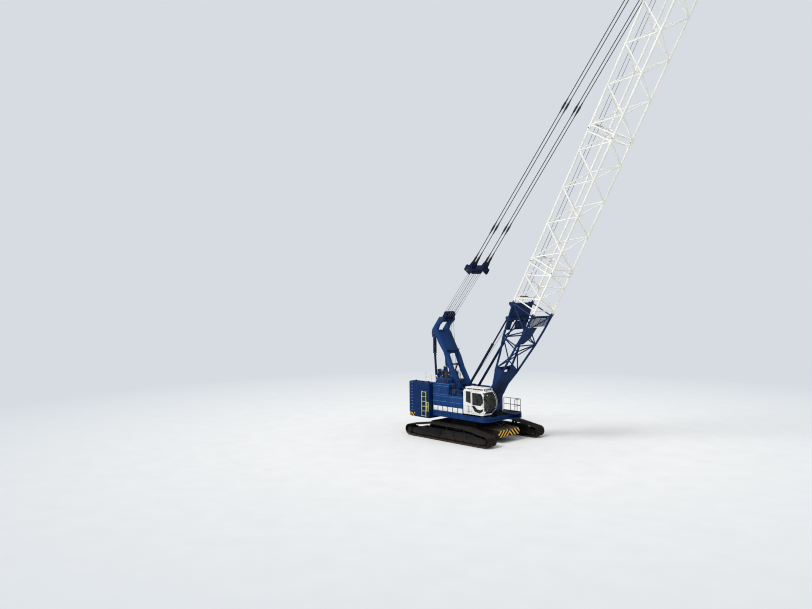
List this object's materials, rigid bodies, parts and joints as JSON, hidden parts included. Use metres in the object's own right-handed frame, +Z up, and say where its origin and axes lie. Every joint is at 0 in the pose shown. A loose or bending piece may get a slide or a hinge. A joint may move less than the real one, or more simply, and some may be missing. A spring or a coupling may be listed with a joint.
{
  "type": "crawler crane",
  "caption": "Crawler crane with a pinned lattice boom, A-frame, boom stays, back-stops, cab, counterweight and hook block on two tracks.",
  "frame": {"origin": "on the ground, on the axis that the upper carriage slews about", "axes": "+X to the front of the machine, the boom's side; +Y to its left; +Z up"},
  "size_m": [25.1864, 6.2, 35.2646],
  "materials": {
    "blue_paint": "gloss, worn",
    "dark_blue_paint": "gloss, dusty",
    "white_paint": "gloss, dirty",
    "boom_white": "satin, dirty",
    "track_steel": "bare, muddy",
    "black_paint": "satin, dusty",
    "grey_steel": "greased",
    "rope_steel": "greased",
    "glass": "tinted",
    "engine_iron": "painted",
    "rail_paint": "satin",
    "ladder_yellow": "faded",
    "hook_yellow": "gloss, worn",
    "hook_steel": "forged",
    "seat_cloth": "woven",
    "trim_plastic": "grained"
  },
  "bodies": {
    "undercarriage": {"track_right": "track_steel", "track_left": "track_steel", "crawler_frame_right": "black_paint", "crawler_frame_left": "black_paint", "wheels_right": "track_steel", "wheels_left": "track_steel", "carbody": "black_paint", "ballast_front": "black_paint", "ballast_rear": "black_paint", "slewing_ring": "grey_steel"},
    "upperworks": {"upper_frame": "blue_paint", "boom_foot_pins": "grey_steel", "housing_right": "blue_paint", "housing_left": "blue_paint", "engine": "engine_iron", "winch_hoist": "grey_steel", "winch_luffing": "grey_steel", "counterweight_base": "dark_blue_paint", "counterweight_stack_right": "dark_blue_paint", "counterweight_stack_left": "dark_blue_paint", "a_frame": "blue_paint", "a_frame_struts": "blue_paint", "cab_shell": "white_paint", "cab_glass": "glass", "cab_mounts": "trim_plastic", "roof_guard": "white_paint", "seat": "seat_cloth", "console": "trim_plastic", "handrails": "rail_paint", "ladder": "ladder_yellow"},
    "cab_door": {"cab_door": "white_paint", "door_glass": "glass"},
    "boom": {"boom_foot": "blue_paint", "boom_insert_3m": "boom_white", "boom_insert_9m_lower": "boom_white", "boom_insert_9m_upper": "boom_white", "boom_head": "blue_paint", "head_sheaves": "grey_steel"},
    "luffing_cradle": {"luffing_cradle": "dark_blue_paint"},
    "spreader": {"spreader_bar": "dark_blue_paint"},
    "stays": {"stay_lines": "rope_steel"},
    "stop_tube_right": {"backstop_tube_right": "blue_paint"},
    "stop_tube_left": {"backstop_tube_left": "blue_paint"},
    "stop_rod_right": {"backstop_rod_right": "blue_paint"},
    "stop_rod_left": {"backstop_rod_left": "blue_paint"},
    "hoist_line": {"hoist_falls": "rope_steel"},
    "hook_block": {"hook_block": "hook_yellow"},
    "hook": {"hook": "hook_steel"}
  },
  "joints": [
    {"name": "slew", "type": "hinge", "parent": "undercarriage", "child": "upperworks", "pos_m": [0, 0, 1.37], "axis": [0, 0, 1], "continuous": true},
    {"name": "boom_luff", "type": "hinge", "parent": "upperworks", "child": "boom", "pos_m": [1.24, 0, 1.89], "axis": [0, -1, 0], "range_deg": [-31, 19]},
    {"name": "cab_door_hinge", "type": "hinge", "parent": "upperworks", "child": "cab_door", "pos_m": [1.307, -1.764, 2.75], "axis": [0, 0, -1], "range_deg": [0, 90]},
    {"name": "cradle_swing", "type": "hinge", "parent": "upperworks", "child": "luffing_cradle", "pos_m": [-2.6, 0, 8.4], "axis": [0, -1, 0], "range_deg": [-19.7, 12.1]},
    {"name": "luffing_tackle", "type": "slide", "parent": "luffing_cradle", "child": "spreader", "axis": [0.6239, 0, 0.7815], "range_m": [-2.418, 3.944]},
    {"name": "stay_swing", "type": "hinge", "parent": "boom", "child": "stays", "pos_m": [18.85661, 0, 35.11507], "axis": [0, -1, 0], "range_deg": [-4.8, 3]},
    {"name": "hoist_plumb", "type": "hinge", "parent": "boom", "child": "hoist_line", "pos_m": [19.97212, 0, 34.61106], "axis": [0, -1, 0], "range_deg": [-19.1, 31.1]},
    {"name": "hook_hoist", "type": "slide", "parent": "hoist_line", "child": "hook_block", "axis": [0, 0, 1], "range_m": [-10, 2], "deforming": ["hoist_falls"]},
    {"name": "hook_swivel", "type": "hinge", "parent": "hook_block", "child": "hook", "pos_m": [19.97212, 0, 26.81106], "axis": [0, 0, 1], "continuous": true},
    {"name": "stop_swing_right", "type": "hinge", "parent": "upperworks", "child": "stop_tube_right", "pos_m": [-0.25, -0.58, 3.25], "axis": [0, -1, 0], "range_deg": [-31.2, 19.2]},
    {"name": "stop_slide_right", "type": "slide", "parent": "stop_tube_right", "child": "stop_rod_right", "axis": [0.5878, 0, 0.809], "range_m": [-0.65, 1.058]},
    {"name": "stop_swing_left", "type": "hinge", "parent": "upperworks", "child": "stop_tube_left", "pos_m": [-0.25, 0.58, 3.25], "axis": [0, -1, 0], "range_deg": [-31.2, 19.2]},
    {"name": "stop_slide_left", "type": "slide", "parent": "stop_tube_left", "child": "stop_rod_left", "axis": [0.5878, 0, 0.809], "range_m": [-0.65, 1.058]}
  ],
  "couplings": [
    {"joint": "cradle_swing", "follows": "boom_luff", "ratio": 0.6305},
    {"joint": "luffing_tackle", "follows": "boom_luff", "m_per_rad": -7.285},
    {"joint": "stay_swing", "follows": "boom_luff", "ratio": 0.1512},
    {"joint": "hoist_plumb", "follows": "boom_luff", "ratio": -1},
    {"joint": "stop_swing_right", "follows": "boom_luff", "ratio": 1.0019},
    {"joint": "stop_slide_right", "follows": "boom_luff", "m_per_rad": -1.9514},
    {"joint": "stop_swing_left", "follows": "boom_luff", "ratio": 1.0019},
    {"joint": "stop_slide_left", "follows": "boom_luff", "m_per_rad": -1.9514}
  ]
}
